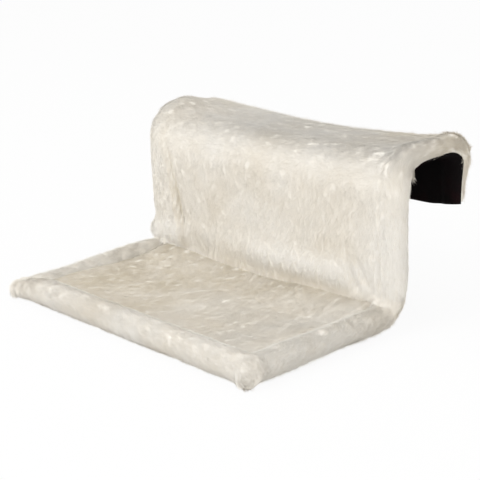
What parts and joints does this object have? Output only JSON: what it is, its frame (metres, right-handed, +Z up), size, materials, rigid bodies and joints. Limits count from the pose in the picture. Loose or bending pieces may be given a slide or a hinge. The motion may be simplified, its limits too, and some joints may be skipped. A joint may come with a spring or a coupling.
{
  "type": "radiator cat bed",
  "caption": "Plush cat bed on a bent tube frame: padded seat and back, and a wide hook that goes over a radiator and slides out to suit its thickness.",
  "frame": {"origin": "centre of the floor rectangle under the bed, at the level that the seat rests on", "axes": "+X along the bed's width to the right of someone who faces the seat, +Y from the seat towards the radiator, +Z up"},
  "size_m": [0.47, 0.382, 0.224],
  "materials": {
    "frame_tube": "powder coated",
    "plated_steel": "zinc plated",
    "cap_plastic": "moulded",
    "plush": "long pile faux fur",
    "wadding": "polyester wadding",
    "lining": "brushed woven cloth",
    "tape": "hook and loop tape"
  },
  "bodies": {
    "root": {"left_side_tube": "frame_tube", "right_side_tube": "frame_tube", "front_cross_tube": "frame_tube", "rear_cross_tube": "frame_tube", "front_tube_caps": "cap_plastic", "side_tube_inserts": "cap_plastic", "cross_tube_inserts": "cap_plastic", "front_bolts": "plated_steel", "rear_bolts": "plated_steel", "lock_nuts": "plated_steel", "front_sleeve": "plush", "left_seat_sleeve": "plush", "right_seat_sleeve": "plush", "left_back_sleeve": "plush", "right_back_sleeve": "plush", "left_arm_sleeve": "plush", "right_arm_sleeve": "plush", "seat_lining": "lining", "seat_pad": "wadding", "seat_plush": "plush", "back_lining": "lining", "back_pad": "wadding", "back_plush": "plush", "hook_top_plush": "plush", "hook_top_lining": "lining", "closure_flap": "lining", "closure_hook_tape": "tape", "closure_loop_tape": "tape"},
    "hook": {"hook_frame": "frame_tube", "left_leg_sleeve": "plush", "right_leg_sleeve": "plush", "hook_leg_plush": "plush", "hook_leg_lining": "lining"},
    "left_screw": {"left_lock_screw": "plated_steel"},
    "right_screw": {"right_lock_screw": "plated_steel"}
  },
  "joints": [
    {"name": "hook_slide", "type": "slide", "parent": "root", "child": "hook", "axis": [0, 1, 0], "range_m": [0, 0.03]},
    {"name": "left_lock_turn", "type": "hinge", "parent": "root", "child": "left_screw", "pos_m": [-0.2025, 0.14, 0.2095], "axis": [1, 0, 0], "range_deg": [0, 360]},
    {"name": "right_lock_turn", "type": "hinge", "parent": "root", "child": "right_screw", "pos_m": [0.2025, 0.14, 0.2095], "axis": [1, 0, 0], "range_deg": [-360, 0]}
  ]
}
